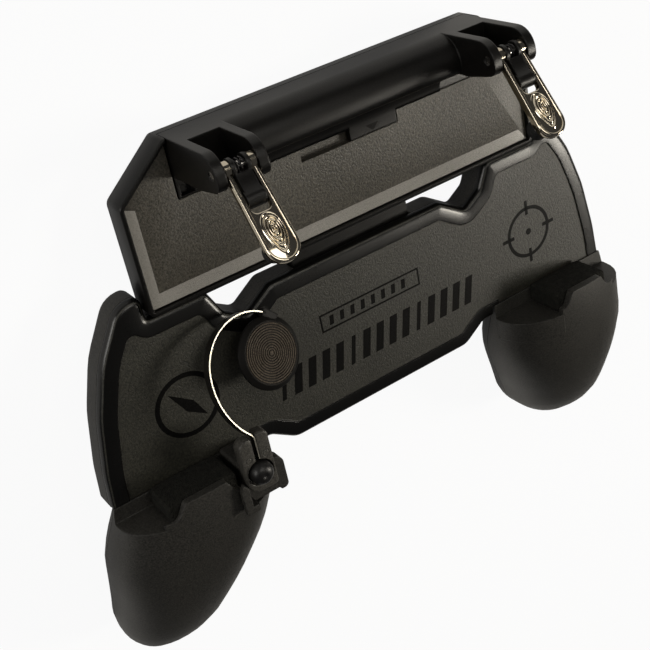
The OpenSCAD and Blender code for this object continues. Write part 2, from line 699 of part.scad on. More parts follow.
rivet_d = 1.5;
rivets_at = [[(arm_half + slot_right) / 2, 4.3], [(slot_left - arm_half) / 2, 4.3]];
module joystick_rivets() {
  color(steel) at_pivot() for (p = rivets_at) translate([p.x, p.y, arm_z + 0.1])
    cylinder(h = arm_t, d = rivet_d);
}

// Pivot: its domed head sits in the arm's recess
dome_r = recess_r - 0.45;
module joystick_pivot() {
  head = recess_z + run / 2;
  top = arm_z + arm_t + 2;
  color(black) at_pivot() rotate_extrude()
    polygon(rounded([[0, 2.2, 0], [pivot_d / 2, 2.2, 0.2], [pivot_d / 2, head, 0],
      [dome_r, head, 0], [dome_r, top, 2.2], [0.8, top + 0.3, 0.5], [0, top, 0]]));
}

// Band: a tail in the arm's slot, a kink, then a hoop that leans towards the panel and curls round
// the thumb pad, which holds its end
band_x = slot_right - fit - band_t / 2;
kink_y = tine_h - 0.3;
kink_z = arm_z + arm_t - 0.1;
lean_way = 54.2;
hoop_start = 222.4;
hoop_turn = 165.8;
hoop_end = 50.6;
lean_axis = [-sin(lean_way), cos(lean_way), 0];
kink = [band_x, kink_y, kink_z];
function ray(q) = [cos(q), sin(q)];
hoop_at = -hoop_r * ray(hoop_start);
curl_at = hoop_at + (hoop_r - curl_r) * ray(hoop_turn);
band_end = curl_at + curl_r * ray(hoop_end);
hoop_reach = curl_at * ray(lean_way) + curl_r + band_t / 2;
hoop_lean = asin((kink_z - hoop_gap) / norm([hoop_reach, band_w])) - atan2(band_w, hoop_reach);
function leant(v) = v * cos(hoop_lean) + cross(lean_axis, v) * sin(hoop_lean)
  + lean_axis * (lean_axis * v) * (1 - cos(hoop_lean));
module in_hoop() {
  at_pivot() translate(kink) rotate(a = hoop_lean, v = lean_axis) children();
}
module arc(at, r0, r1, a0, a1, z0, z1) {
  translate([at.x, at.y, 0]) rotate([0, 0, a0]) rotate_extrude(angle = a1 - a0)
    translate([r0, z0]) square([r1 - r0, z1 - z0]);
}
function strip(at, across, up) =
  [for (c = [[-1, 0], [1, 0], [1, -1], [-1, -1]]) at + across * c.x * band_t / 2 + up * c.y * band_w];
function hoop_ring(at, r, q) =
  strip(kink + leant(concat(at + r * ray(q), 0)), leant(concat(-ray(q), 0)), leant([0, 0, 1]));
module spring_band() {
  tail = [for (y = [slot_foot + 0.4, kink_y - 0.5]) strip([band_x, y, kink_z], [1, 0, 0], [0, 0, 1])];
  wide = [for (i = [0 : 12]) hoop_ring(hoop_at, hoop_r, mix(hoop_start - 2, hoop_turn, i / 12))];
  curl = [for (i = [1 : 24]) hoop_ring(curl_at, curl_r, mix(hoop_turn, hoop_end, i / 24))];
  color(steel) at_pivot() skin(concat(tail, wide, curl));
}

// Thumb pad: bevelled disc with round grooves, on the end of the band
lug_w = 1.8;
lug_way = 72.7;
thumb_at = band_end - (thumb_d / 2 + 0.7) * ray(lug_way);
thumb_top = 0.4;
bevel_w = 1.2;
bevel_h = 0.9;
groove_w = (thumb_d / 2 - bevel_w) / (thumb_grooves + 0.8);
module thumb_pad() {
  r = thumb_d / 2;
  low = thumb_top - thumb_t;
  slit = band_t / 2 + fit;
  color(grain) in_hoop() difference() {
    union() {
      translate([thumb_at.x, thumb_at.y, 0]) difference() {
        rotate_extrude() polygon([[0, low], [r - 0.2, low], [r, low + 0.2], [r, thumb_top - bevel_h],
          [r - bevel_w, thumb_top], [0, thumb_top]]);
        for (i = [1 : thumb_grooves]) translate([0, 0, thumb_top - 0.2]) rotate_extrude()
          translate([i * groove_w, 0]) square([groove_w * 0.4, 1]);
      }
      arc(curl_at, curl_r - lug_w / 2, curl_r + lug_w / 2, hoop_end - 16, hoop_end + 3, 0.6 - band_w, 0.1);
    }
    arc(curl_at, curl_r - slit, curl_r + slit, hoop_end - 0.4, hoop_end + 30, -band_w - 1, fit);
  }
}
module pad_contact() {
  color(foam) in_hoop() translate([thumb_at.x, thumb_at.y, thumb_top - thumb_t - 0.5])
    cylinder(h = 0.5, r = thumb_d / 2 - 3.2);
}

rear_shell();
front_panel();
left_grip_shell();
right_grip_shell();
left_grip_cover();
right_grip_cover();
left_foam_pad();
right_foam_pad();
case_screws();
clamp_frame();
clamp_plate();
clamp_hood();
clamp_screws();
left_return_spring();
right_return_spring();
left_trigger_lever();
left_trigger_pin();
left_trigger_block();
left_trigger_spring();
left_trigger_foot();
right_trigger_lever();
right_trigger_pin();
right_trigger_block();
right_trigger_spring();
right_trigger_foot();
joystick_bracket();
joystick_arm();
joystick_pivot();
joystick_rivets();
spring_band();
thumb_pad();
pad_contact();
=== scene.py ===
"""Clip-on phone game controller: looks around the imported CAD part, piece by piece, in metres."""
import json
import bpy
import numpy as np
from mathutils import Matrix


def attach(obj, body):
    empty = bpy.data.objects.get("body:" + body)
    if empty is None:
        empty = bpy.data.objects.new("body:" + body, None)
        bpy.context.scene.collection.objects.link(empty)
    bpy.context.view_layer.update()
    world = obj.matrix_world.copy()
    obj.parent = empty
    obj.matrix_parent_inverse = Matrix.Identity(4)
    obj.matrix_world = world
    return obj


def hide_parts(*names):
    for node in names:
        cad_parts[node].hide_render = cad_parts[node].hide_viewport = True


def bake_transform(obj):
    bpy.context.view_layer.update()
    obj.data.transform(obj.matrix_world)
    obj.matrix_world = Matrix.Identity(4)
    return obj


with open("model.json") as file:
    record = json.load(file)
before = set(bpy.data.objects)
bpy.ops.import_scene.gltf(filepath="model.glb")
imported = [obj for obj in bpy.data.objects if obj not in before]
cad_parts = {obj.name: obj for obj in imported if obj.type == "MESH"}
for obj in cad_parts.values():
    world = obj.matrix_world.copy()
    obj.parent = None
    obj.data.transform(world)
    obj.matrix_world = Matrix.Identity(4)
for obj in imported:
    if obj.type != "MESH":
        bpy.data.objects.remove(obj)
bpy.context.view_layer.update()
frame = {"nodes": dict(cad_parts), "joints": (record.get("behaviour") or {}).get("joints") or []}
nodes = frame["nodes"]
joints = {joint["name"]: joint for joint in frame["joints"]}


# Base and grips: rear shell, two grip backs and two grip fronts in black ABS. Injection-moulded with a
# fine spark-eroded grain, gloss a little uneven from handling, tool corners broken to soft edges.
moulded = bpy.data.node_groups.new("moulded", "ShaderNodeTree")
for label, kind, value in (("Color", "NodeSocketColor", (0.02, 0.02, 0.02, 1)),
                           ("Gloss", "NodeSocketFloat", 0.4), ("Grain Size", "NodeSocketFloat", 4000.0),
                           ("Grain Depth", "NodeSocketFloat", 0.1)):
    moulded.interface.new_socket(label, in_out="INPUT", socket_type=kind).default_value = value
for label, kind in (("Base Color", "NodeSocketColor"), ("Roughness", "NodeSocketFloat"),
                    ("Normal", "NodeSocketVector")):
    moulded.interface.new_socket(label, in_out="OUTPUT", socket_type=kind)
n, link = moulded.nodes, moulded.links.new
given, made = n.new("NodeGroupInput"), n.new("NodeGroupOutput")
where = n.new("ShaderNodeTexCoord")
cloud = n.new("ShaderNodeTexNoise")          # broad unevenness of tone and gloss
cloud.inputs["Scale"].default_value = 60
cloud.inputs["Detail"].default_value = 4
pebble = n.new("ShaderNodeTexNoise")         # the grain itself
pebble.inputs["Detail"].default_value = 3
pebble.inputs["Roughness"].default_value = 0.6
tone = n.new("ShaderNodeMapRange")
tone.inputs["To Min"].default_value = 0.82
tone.inputs["To Max"].default_value = 1.18
speck = n.new("ShaderNodeMapRange")
speck.inputs["From Min"].default_value = 0.3
speck.inputs["From Max"].default_value = 0.7
speck.inputs["To Min"].default_value = 0.3
speck.inputs["To Max"].default_value = 1.7
uneven = n.new("ShaderNodeMath")
uneven.operation = "MULTIPLY"
tint = n.new("ShaderNodeMix")
tint.data_type = "RGBA"
tint.blend_type = "MULTIPLY"
tint.inputs["Factor"].default_value = 1
sheen = n.new("ShaderNodeMath")
sheen.operation = "MULTIPLY"
soft = n.new("ShaderNodeBevel")
soft.samples = 4
soft.inputs["Radius"].default_value = 0.00045
dimple = n.new("ShaderNodeBump")
dimple.inputs["Distance"].default_value = 0.0001
link(where.outputs["Object"], cloud.inputs["Vector"])
link(where.outputs["Object"], pebble.inputs["Vector"])
link(given.outputs["Grain Size"], pebble.inputs["Scale"])
link(cloud.outputs["Fac"], tone.inputs["Value"])
link(pebble.outputs["Fac"], speck.inputs["Value"])
link(tone.outputs["Result"], uneven.inputs[0])
link(speck.outputs["Result"], uneven.inputs[1])
link(given.outputs["Color"], tint.inputs["A"])
link(uneven.outputs["Value"], tint.inputs["B"])
link(given.outputs["Gloss"], sheen.inputs[0])
link(tone.outputs["Result"], sheen.inputs[1])
link(pebble.outputs["Fac"], dimple.inputs["Height"])
link(given.outputs["Grain Depth"], dimple.inputs["Strength"])
link(soft.outputs["Normal"], dimple.inputs["Normal"])
link(tint.outputs["Result"], made.inputs["Base Color"])
link(sheen.outputs["Value"], made.inputs["Roughness"])
link(dimple.outputs["Normal"], made.inputs["Normal"])

# facets are welded and shaded as one smooth surface up to an angle, which keeps real edges crisp
crisp_from = np.radians(34)
smoothed = bpy.data.node_groups.new("smoothed", "GeometryNodeTree")
smoothed.interface.new_socket("Geometry", in_out="INPUT", socket_type="NodeSocketGeometry")
smoothed.interface.new_socket("Geometry", in_out="OUTPUT", socket_type="NodeSocketGeometry")
n, link = smoothed.nodes, smoothed.links.new
given, made = n.new("NodeGroupInput"), n.new("NodeGroupOutput")
weld = n.new("GeometryNodeMergeByDistance")
weld.inputs["Distance"].default_value = 2e-6
bend = n.new("GeometryNodeInputMeshEdgeAngle")
steep = n.new("FunctionNodeCompare")
steep.operation = "GREATER_EQUAL"
steep.inputs["B"].default_value = crisp_from
shading = n.new("GeometryNodeSetMeshNormal")  # also lets go of the normals that came with the frame
link(given.outputs["Geometry"], weld.inputs["Geometry"])
link(weld.outputs["Geometry"], shading.inputs["Mesh"])
link(bend.outputs["Unsigned Angle"], steep.inputs["A"])
link(steep.outputs["Result"], shading.inputs["Edge Sharpness"])
link(shading.outputs["Mesh"], made.inputs["Geometry"])
for piece in nodes.values():
    piece.modifiers.new("smoothed", "NODES").node_group = smoothed


def plastic(name, color, gloss, grain_size, grain_depth, shine):
    """Principled material of one moulding, its colour, gloss and grain from the moulded group."""
    made = bpy.data.materials.new(name)
    made.use_nodes = True
    tree = made.node_tree
    body, finish = tree.nodes["Principled BSDF"], tree.nodes.new("ShaderNodeGroup")
    finish.node_tree = moulded
    finish.inputs["Color"].default_value = (*color, 1)
    finish.inputs["Gloss"].default_value = gloss
    finish.inputs["Grain Size"].default_value = grain_size
    finish.inputs["Grain Depth"].default_value = grain_depth
    body.inputs["Specular IOR Level"].default_value = shine
    for label in ("Base Color", "Roughness", "Normal"):
        tree.links.new(finish.outputs[label], body.inputs[label])
    return made


def paint(material, *names):
    """Gives each named CAD node this one material."""
    for name in names:
        nodes[name].data.materials.clear()
        nodes[name].data.materials.append(material)


grip_black = plastic("grip_black", color=(0.0255, 0.0243, 0.0214), gloss=0.48, grain_size=2600,
                     grain_depth=0.30, shine=0.40)
paint(grip_black, "rear_shell", "left_grip_shell", "right_grip_shell", "left_grip_cover",
      "right_grip_cover")


# Front panel: one ABS moulding, held by the screws from behind. A sunk field of fine leather-like grain,
# warm dark grey, lies inside a smooth glossy border band that runs round the outline and down to the
# phone shelves.
along = np.array(joints["clamp_slide"]["axis"])      # up the panel, the way the clamp slides
out = np.cross((1, 0, 0), along)                     # straight out of the panel's face
pin_x, pin_y, pin_z = 35.2, 36.5, 19.2               # right trigger's pin on the panel's axes, millimetres
middle = (np.array(joints["left_trigger_press"]["pos_m"])
          - np.dot(np.array((-pin_x, pin_y, pin_z)) / 1000, [(1, 0, 0), along, out]))
field_depth, field_reach = 0.0003, 0.00012           # how deep the field lies, and how closely that is met


def on_panel(p):
    """Points given as x, y, z millimetres on the panel, turned to the part's frame in metres."""
    p = np.asarray(p, float) / 1000
    return middle + p[..., :1] * (1, 0, 0) + p[..., 1:2] * along + p[..., 2:] * out


panel = plastic("grained_panel", color=(0.0215, 0.0208, 0.0155), gloss=0.46, grain_size=2100,
                grain_depth=1.0, shine=0.52)
n, link = panel.node_tree.nodes, panel.node_tree.links.new
body, field, band = n["Principled BSDF"], n["Group"], n.new("ShaderNodeGroup")
band.node_tree = moulded
band.inputs["Color"].default_value = (0.0024, 0.0023, 0.0020, 1)
band.inputs["Gloss"].default_value = 0.27
band.inputs["Grain Depth"].default_value = 0.04
where, height, sunk = n.new("ShaderNodeTexCoord"), n.new("ShaderNodeVectorMath"), n.new("ShaderNodeMath")
height.operation = "DOT_PRODUCT"
height.inputs[1].default_value = out
sunk.operation = "COMPARE"
sunk.inputs[1].default_value = middle @ out - field_depth
sunk.inputs[2].default_value = field_reach
link(where.outputs["Object"], height.inputs[0])
link(height.outputs["Value"], sunk.inputs[0])
for label, kind, socket in (("Base Color", "RGBA", "RGBA"), ("Roughness", "FLOAT", "VALUE"),
                            ("Normal", "VECTOR", "VECTOR")):
    pick = n.new("ShaderNodeMix")
    pick.data_type = kind
    a, b = [s for s in pick.inputs if s.name in "AB" and s.type == socket]
    link(sunk.outputs["Value"], pick.inputs["Factor"])
    link(band.outputs[label], a)
    link(field.outputs[label], b)
    link([s for s in pick.outputs if s.type == socket][0], body.inputs[label])
paint(panel, "front_panel")


# Right seat cap: fills the clip seat on the right grip, where no joystick is clipped. Moulded in the
# grips' black and pressed in flush; its face carries the grip's own rounded section on.
def surface(name, grid, material, closed=False):
    """Mesh over a grid of points, rows by columns; closed joins the last column to the first. Points
    that meet at a pole are welded."""
    i = np.arange(grid.shape[0] * grid.shape[1]).reshape(grid.shape[:2])
    i = np.hstack([i, i[:, :1]]) if closed else i
    quads = np.stack([i[:-1, :-1], i[:-1, 1:], i[1:, 1:], i[1:, :-1]], -1).reshape(-1, 4)
    mesh = bpy.data.meshes.new(name)
    mesh.from_pydata(grid.reshape(-1, 3).tolist(), [], quads.tolist())
    mesh.materials.append(material)
    piece = bpy.data.objects.new(name, mesh)
    bpy.context.collection.objects.link(piece)
    piece.modifiers.new("smoothed", "NODES").node_group = smoothed
    return piece


def with_poles(rings):
    """Rings of points with both end rings drawn together to their middles, which closes the ends."""
    middles = np.repeat(rings[[0, -1]].mean(1, keepdims=True), rings.shape[1], 1)
    return np.concatenate([middles[:1], rings, middles[1:]])


def rounder(c):
    """Sine or cosine pulled towards a fuller round by a power of 0.85."""
    return np.sign(c) * np.abs(c) ** 0.85


lip_y, grip_l = -34.8, 61                            # upper end and length of a grip
cap_y = np.linspace(-46.78, -40.4, 10)               # from the seat's floor up to the phone shelf
cap_foot, cap_least = 0.02, 0.03                     # flat side over the panel, and the face's least height
inner_x, inner_slope, inner_from, inner_soft = 37, 0.26, 17, 6
outer_x, outer_more, outer_l = 76.1, 4.2, 22
fore_z, fore_fall = 13.4, 26
aft_z, aft_fall, heel, heel_from, heel_l = -10.6, 28, 2.603, 1.75, 11
# the grip's four sides, by the way down from its lip: the inner one bends outwards along a soft knee,
# the outer one swells along an S, the front falls by a square, the back straight but for a heel
drop = (lip_y - cap_y)[:, None]
swell = np.clip(drop / outer_l, 0, 1)
inner = inner_x + inner_slope * (drop - inner_from + np.hypot(drop - inner_from, inner_soft))
outer = outer_x + outer_more * swell ** 2 * (3 - 2 * swell)
fore = fore_z - fore_fall * (drop / grip_l) ** 2
aft = aft_z - aft_fall * drop / grip_l + heel * np.maximum(0, 1 - (drop - heel_from) / heel_l) ** 2
q = np.radians(np.linspace(178, 107.3, 30))          # from the grip's inner side to the phone lip
x = (inner + outer + (outer - inner) * rounder(np.cos(q))) / 2
z = np.maximum(cap_least, (fore + aft + (fore - aft) * rounder(np.sin(q))) / 2)
# ring at each height: the rounded face, then down to the seat and back along it
ring_x = np.hstack([x, x[:, -1:], x[:, :1]])
ring_z = np.pad(z, ((0, 0), (0, 2)), constant_values=cap_foot)
rings = np.stack([ring_x, np.broadcast_to(cap_y[:, None], ring_x.shape), ring_z], -1)
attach(surface("right_seat_cap", on_panel(with_poles(rings)), grip_black, closed=True), "base")


# Printed marks on the panel: gloss black pad-printed ink, a hair above the grain, which shows through
# it. A ring with a lozenge, a sight of four ticks, a thin box and two rows of slanted bars.
def plates(name, corners, material):
    """Flat four-cornered plates, each given by its corners on the panel, anticlockwise."""
    corners = np.asarray(corners, float)
    mesh = bpy.data.meshes.new(name)
    mesh.from_pydata(on_panel(corners).reshape(-1, 3).tolist(), [],
                     np.arange(len(corners) * 4).reshape(-1, 4).tolist())
    mesh.materials.append(material)
    piece = bpy.data.objects.new(name, mesh)
    bpy.context.collection.objects.link(piece)
    return piece


def box(x0, x1, y0, y1):
    """Four corners of an upright rectangle, anticlockwise."""
    return np.array([(x0, y0), (x1, y0), (x1, y1), (x0, y1)])


ink = plastic("ink", color=(0.0022, 0.0021, 0.0020), gloss=0.45, grain_size=2300, grain_depth=0.3,
              shine=0.10)
ink_z = -0.285
ring_x, sight_x, mark_y = -52.0, 51.9, -20.5         # middles of the two round marks
turn = np.linspace(0, 2 * np.pi, 73)[:-1]
for name, x, r0, r1 in (("ring_mark", ring_x, 7.0, 8.2), ("sight_mark", sight_x, 6.2, 7.2),
                        ("sight_dot", sight_x, 0.0, 0.9)):
    # flat ring: two circles of points about the mark's middle
    r = np.array((r1, r0))[:, None]
    grid = np.stack([x + r * np.cos(turn), mark_y + r * np.sin(turn), np.full((2, len(turn)), ink_z)], -1)
    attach(surface(name, on_panel(grid), ink, closed=True), "base")
# ticks: one bar across the sight's ring, turned four ways; lozenge: laid aslant in the other ring
quarters = np.array([((1, 0), (0, 1)), ((0, 1), (-1, 0)), ((-1, 0), (0, -1)), ((0, -1), (1, 0))])
ticks = (sight_x, mark_y) + box(4.9, 8.9, -0.5, 0.5) @ quarters
aslant = np.array([(0.66, -0.75), (0.75, 0.66)])
lozenge = (ring_x, mark_y) + np.array([(-6.2, 0), (0.8, -1.5), (6.2, 0), (0.8, 1.5)]) @ aslant
# thin box: four lines; in it a row of short bars, each the same and one step on
left, right, foot, head, thin = -14.5, 15.5, -19.9, -15.0, 0.5
lines = [box(left, right, head - thin, head), box(left, right, foot, foot + thin),
         box(left, left + thin, foot + thin, head - thin),
         box(right - thin, right, foot + thin, head - thin)]
short_bar = np.array([(-0.6, -18.7), (0.6, -18.7), (0.9, -16.2), (-0.3, -16.2)])
short_row = short_bar + (-11.4, 0) + np.arange(8)[:, None, None] * (3.1, 0)
# long row: slanted bars below the box, every fifth one thin
bar_at = -27.6 + 4.1 * np.arange(15)[:, None]
bar_half = np.where(np.arange(15) % 5, 1.15, 0.6)[:, None]
bar_x = bar_at + bar_half * (-1, 1, 1, -1) + (-0.7, -0.7, 0.9, 0.9)
long_row = np.dstack([bar_x, np.broadcast_to((-32.0, -32.0, -24.4, -24.4), bar_x.shape)])
flat = np.concatenate([ticks, [lozenge], lines, short_row, long_row])
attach(plates("bar_marks", np.dstack([flat, np.full(flat.shape[:2], ink_z)]), ink), "base")


# Foam pads: closed-cell foam blocks, knife-cut and glued on the shelves; the phone stands on them.
# Cut faces are open-pored, the upper edge is crowned and the ends have begun to sag.
foam = bpy.data.materials.new("foam")
foam.use_nodes = True
n, link = foam.node_tree.nodes, foam.node_tree.links.new
body = n["Principled BSDF"]
body.inputs["Roughness"].default_value = 0.95
body.inputs["Specular IOR Level"].default_value = 0.2
where, pores, rough, dent = (n.new("ShaderNodeTexCoord"), n.new("ShaderNodeTexVoronoi"),
                             n.new("ShaderNodeTexNoise"), n.new("ShaderNodeBump"))
pores.inputs["Scale"].default_value = 2400
rough.inputs["Scale"].default_value = 900
shade = n.new("ShaderNodeMix")
shade.data_type = "RGBA"
shade.inputs["A"].default_value = (0.001, 0.0010, 0.0008, 1)
shade.inputs["B"].default_value = (0.021, 0.0207, 0.0168, 1)
both = n.new("ShaderNodeMath")
dent.inputs["Distance"].default_value = 0.0003
dent.inputs["Strength"].default_value = 0.9
link(where.outputs["Object"], pores.inputs["Vector"])
link(where.outputs["Object"], rough.inputs["Vector"])
link(pores.outputs["Distance"], both.inputs[0])
link(rough.outputs["Fac"], both.inputs[1])
link(rough.outputs["Fac"], shade.inputs["Factor"])
link(shade.outputs["Result"], body.inputs["Base Color"])
link(both.outputs["Value"], dent.inputs["Height"])
link(dent.outputs["Normal"], body.inputs["Normal"])
foam_x, foam_w, foam_flat = 58.4, 17.6, 15           # middle, length, and length without the rounded ends
foam_y, foam_z = (-40.1, -35.1), (0.4, 10.8)
foam_round, foam_sag, edge_sag = 0.7, 0.22, 0.10     # edge radius, and how far the top has sunk


def squarer(c):
    """Sine or cosine pulled out towards a square by a power of 0.16."""
    return np.sign(c) * np.abs(c) ** 0.16


for side, x in (("left", -foam_x), ("right", foam_x)):
    # block: a rounded rectangle carried along X, whose size follows a quarter circle at each end and
    # goes to nothing on the flat ends
    q = np.linspace(2 * np.pi, 0, 121)[:-1]
    end = np.linspace(0, np.pi / 2, 9)
    half_y, half_z = np.ptp(foam_y) / 2, np.ptp(foam_z) / 2
    shrink = foam_round * (1 - np.concatenate([np.sin(end), np.ones(12), np.sin(end)[::-1]]))
    nose = foam_w / 2 - foam_round * (1 - np.cos(end))
    place = np.concatenate([[-foam_w / 2], -nose, np.linspace(-foam_flat / 2, foam_flat / 2, 12),
                            nose[::-1], [foam_w / 2]])
    y = np.pad(half_y - shrink, 1)[:, None] * squarer(np.sin(q))
    z = np.pad(half_z - shrink, 1)[:, None] * squarer(np.cos(q))
    # the upper face sinks a little towards its ends and its edges, as a pressed foam does
    sag = foam_sag * (place[:, None] / foam_w * 2) ** 4 + edge_sag * (z / half_z) ** 4
    y = y - sag * np.clip(y / half_y, 0, 1)
    grid = np.stack([np.broadcast_to(x + place[:, None], y.shape),
                     np.mean(foam_y) + y, np.mean(foam_z) + z], -1)
    pad = surface(side + "_foam_block", on_panel(grid), foam, closed=True)
    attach(pad, "base")
    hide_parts(side + "_foam_pad")


# Clamp: black tray, hood and trigger blocks in the same ABS as the base, moulded a little glossier.
# The tray slides on its tongue, the hood is screwed to it and the blocks turn on the trigger pins.
clamp_black = plastic("clamp_black", color=(0.0042, 0.0038, 0.0034), gloss=0.34, grain_size=3200,
                      grain_depth=0.14, shine=0.32)
paint(clamp_black, "clamp_frame", "clamp_hood", "left_trigger_block", "right_trigger_block")


# Clamp plate: the phone's back lies on it. An ABS moulding snapped into the tray, grained like the
# panel. A glossy strip runs along the left side and the foot; its light grey colour is a painted
# reflection of the lamps, not the strip's own colour. A small printed arrow lies on the snap tab.
plate = plastic("grained_plate", color=(0.049, 0.0440, 0.0340), gloss=0.46, grain_size=2100,
                grain_depth=1.0, shine=0.55)
paint(plate, "clamp_plate")
# painted reflection: this light grey base colour stands for the sheen the glossy strips pick up from the
# lamps
strip_painted_sheen = plastic("painted_sheen_strip", color=(0.27, 0.26, 0.24), gloss=0.20, grain_size=12000,
                 grain_depth=0.03, shine=0.6)
strip_z, arrow_z = 0.63, 0.62                        # a hair above the plate
side_x, side_in, foot_y, foot_in = 53.7, 51.4, 5.5, 8.6
strips = [[(-side_x, foot_y), (-side_in, foot_in), (-side_in, 28.2), (-side_x, 29.2)],
          [(-side_x, foot_y), (side_x, foot_y), (side_in, foot_in), (-side_in, foot_in)]]
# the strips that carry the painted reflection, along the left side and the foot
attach(plates("painted_sheen_strips", np.dstack([strips, np.full((2, 4), strip_z)]), strip_painted_sheen), "clamp")
arrow = [[(7.2, 25.6), (9.0, 23.9), (10.8, 25.6), (9.0, 25.6)]]
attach(plates("tab_arrow", np.dstack([arrow, np.full((1, 4), arrow_z)]), ink), "clamp")


# Trigger levers: die-cast zinc, bright nickel-chrome plated, with a warm cast in the reflections.
# A raised bead runs round the fork, and a pointed oval of grip ridges lies on the finger pad.
def metal(name, color, smooth, worn, mark_size=1500):
    """Bare metal whose roughness wanders between two values with a fine noise."""
    made = bpy.data.materials.new(name)
    made.use_nodes = True
    n, link = made.node_tree.nodes, made.node_tree.links.new
    body, where = n["Principled BSDF"], n.new("ShaderNodeTexCoord")
    marks, spread = n.new("ShaderNodeTexNoise"), n.new("ShaderNodeMapRange")
    body.inputs["Base Color"].default_value = (*color, 1)
    body.inputs["Metallic"].default_value = 1
    marks.inputs["Scale"].default_value = mark_size
    spread.inputs["To Min"].default_value = smooth
    spread.inputs["To Max"].default_value = worn
    link(where.outputs["Object"], marks.inputs["Vector"])
    link(marks.outputs["Fac"], spread.inputs["Value"])
    link(spread.outputs["Result"], body.inputs["Roughness"])
    return made


chrome = metal("chrome", (0.66, 0.59, 0.47), smooth=0.04, worn=0.14, mark_size=300)
paint(chrome, "left_trigger_lever", "right_trigger_lever")
lean = np.radians(37.5)
down = np.array((0, -np.cos(lean), np.sin(lean)))    # along the lever, pin to tip, on the panel's axes
face = np.array((0, np.sin(lean), np.cos(lean)))     # out of the lever's face
lever_l, lever_half = 21.6, 3.75
bead_r, bead_rise, eye_half, eye_run = 0.42, 0.8, 3.05, 1.4      # bead, and where it starts by the eyes
arm_share = 0.38                                     # of the bead's run on each arm, the rest on the tip
pad_half, pad_reach, pad_run, pad_rise = 2.35, 4.9, 15.6, 0.86   # ridged oval, and its place on the lever
pad_point, pad_shift, pad_crown, pad_sunk = 0.3, 0.9, 0.34, 0.3  # its point, top's shift, crown, sunk foot
ridge_h, ridge_count, ridge_drift = 0.19, 4.5, 1.5
for side, x in (("left", -pin_x), ("right", pin_x)):
    pin = np.array((x, pin_y, pin_z))
    # bead: a tube along the fork's outline, out from one eye, round the tip and back to the other
    u = np.linspace(0, 1, 110)
    bow = np.pi * np.clip((u - arm_share) / (1 - 2 * arm_share), 0, 1)
    arm = np.clip(np.minimum(u, 1 - u) / arm_share, 0, 1)
    tip = lever_half - bead_r
    across = (eye_half + (tip - eye_half) * arm) * np.cos(bow)
    run = eye_run + (lever_l - lever_half - eye_run) * arm + tip * np.sin(bow)
    line = pin + across[:, None] * (1, 0, 0) + run[:, None] * down + bead_rise * face
    ahead = np.gradient(line, axis=0)
    ahead /= np.linalg.norm(ahead, axis=1)[:, None]
    aside = np.cross(ahead, face)
    q = np.linspace(2 * np.pi, 0, 17)[:-1]
    tube = line[:, None] + bead_r * (np.cos(q)[:, None] * aside[:, None] + np.sin(q)[:, None] * face)
    bead = surface(side + "_lever_bead", on_panel(with_poles(tube)), chrome, closed=True)
    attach(bead, side + "_trigger")
    # grip ridges: a low cushion, pointed to the tip, with waves that follow its outline and drift
    v, w = np.meshgrid(np.r_[1, np.linspace(1, 0, 70)[:-1]], np.linspace(2 * np.pi, 0, 73)[:-1],
                       indexing="ij")
    px = pad_half * v * np.cos(w) * (1 - pad_point * v * np.sin(w))
    py = pad_reach * v * np.sin(w) - pad_shift * (1 - v)
    wave = np.cos(2 * np.pi * ridge_count * v + ridge_drift * np.sin(w))
    rise = pad_crown * (1 - v ** 3) + ridge_h * wave * (1 - v ** 6)
    rise[0] -= pad_sunk
    pad = (pin + px[..., None] * (1, 0, 0) + (pad_run + py)[..., None] * down
           + (pad_rise + rise)[..., None] * face)
    ridges = surface(side + "_lever_pad", on_panel(with_poles(pad)), chrome, closed=True)
    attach(ridges, side + "_trigger")


# Small steel parts: trigger pins, screws and return springs in plain drawn steel with fine drawing
# marks, the trigger springs blued. Each screw head is sunk in the back; a flat dark cross on it is painted
# shade that stands for its cross recess.
steel = metal("steel", (0.60, 0.58, 0.55), smooth=0.16, worn=0.34)
# dark blued steel: the trigger springs' own colour, and also used as painted shade for the screws' cross
# recesses
blued_and_painted_shade = metal("blued_steel_and_painted_shade", (0.060, 0.058, 0.060), smooth=0.28, worn=0.45)
paint(steel, "left_trigger_pin", "right_trigger_pin", "case_screws", "clamp_screws",
      "left_return_spring", "right_return_spring")
paint(blued_and_painted_shade, "left_trigger_spring", "right_trigger_spring")
case_heads = [(x, y, -8.02) for x in (-62.5, -25, 25, 62.5) for y in (-30.0, -10.0)]
clamp_heads = [(x, y, -4.72) for x in (-47, 47) for y in (10.2, 22.8)]
cross_l, cross_w = 1.2, 0.22                         # half length and half width of a bar of the cross
to_back = [0, 3, 2, 1]                               # order of corners that faces the back
# painted shade: the cross recess is not cut, and a flat dark cross on each head stands for the shade inside
# it
painted_recess_shade = np.stack([box(-cross_l, cross_l, -cross_w, cross_w), box(-cross_w, cross_w, -cross_l, cross_l)])
painted_recess_shade = np.pad(painted_recess_shade[:, to_back], ((0, 0), (0, 0), (0, 1)))
for name, heads, group in (("case_screw_painted_shade", case_heads, "base"),
                           ("clamp_screw_painted_shade", clamp_heads, "clamp")):
    corners = np.array(heads)[:, None, None] + painted_recess_shade
    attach(plates(name, corners.reshape(-1, 4, 3), blued_and_painted_shade), group)


# Trigger feet and pad contact: conductive rubber, dull black, moulded. The feet are pressed into the
# trigger blocks and the contact under the thumb pad; they touch the phone's screen.
rubber = plastic("rubber", color=(0.013, 0.013, 0.013), gloss=0.75, grain_size=1800, grain_depth=0.2,
                 shine=0.3)
paint(rubber, "left_trigger_foot", "right_trigger_foot", "pad_contact")


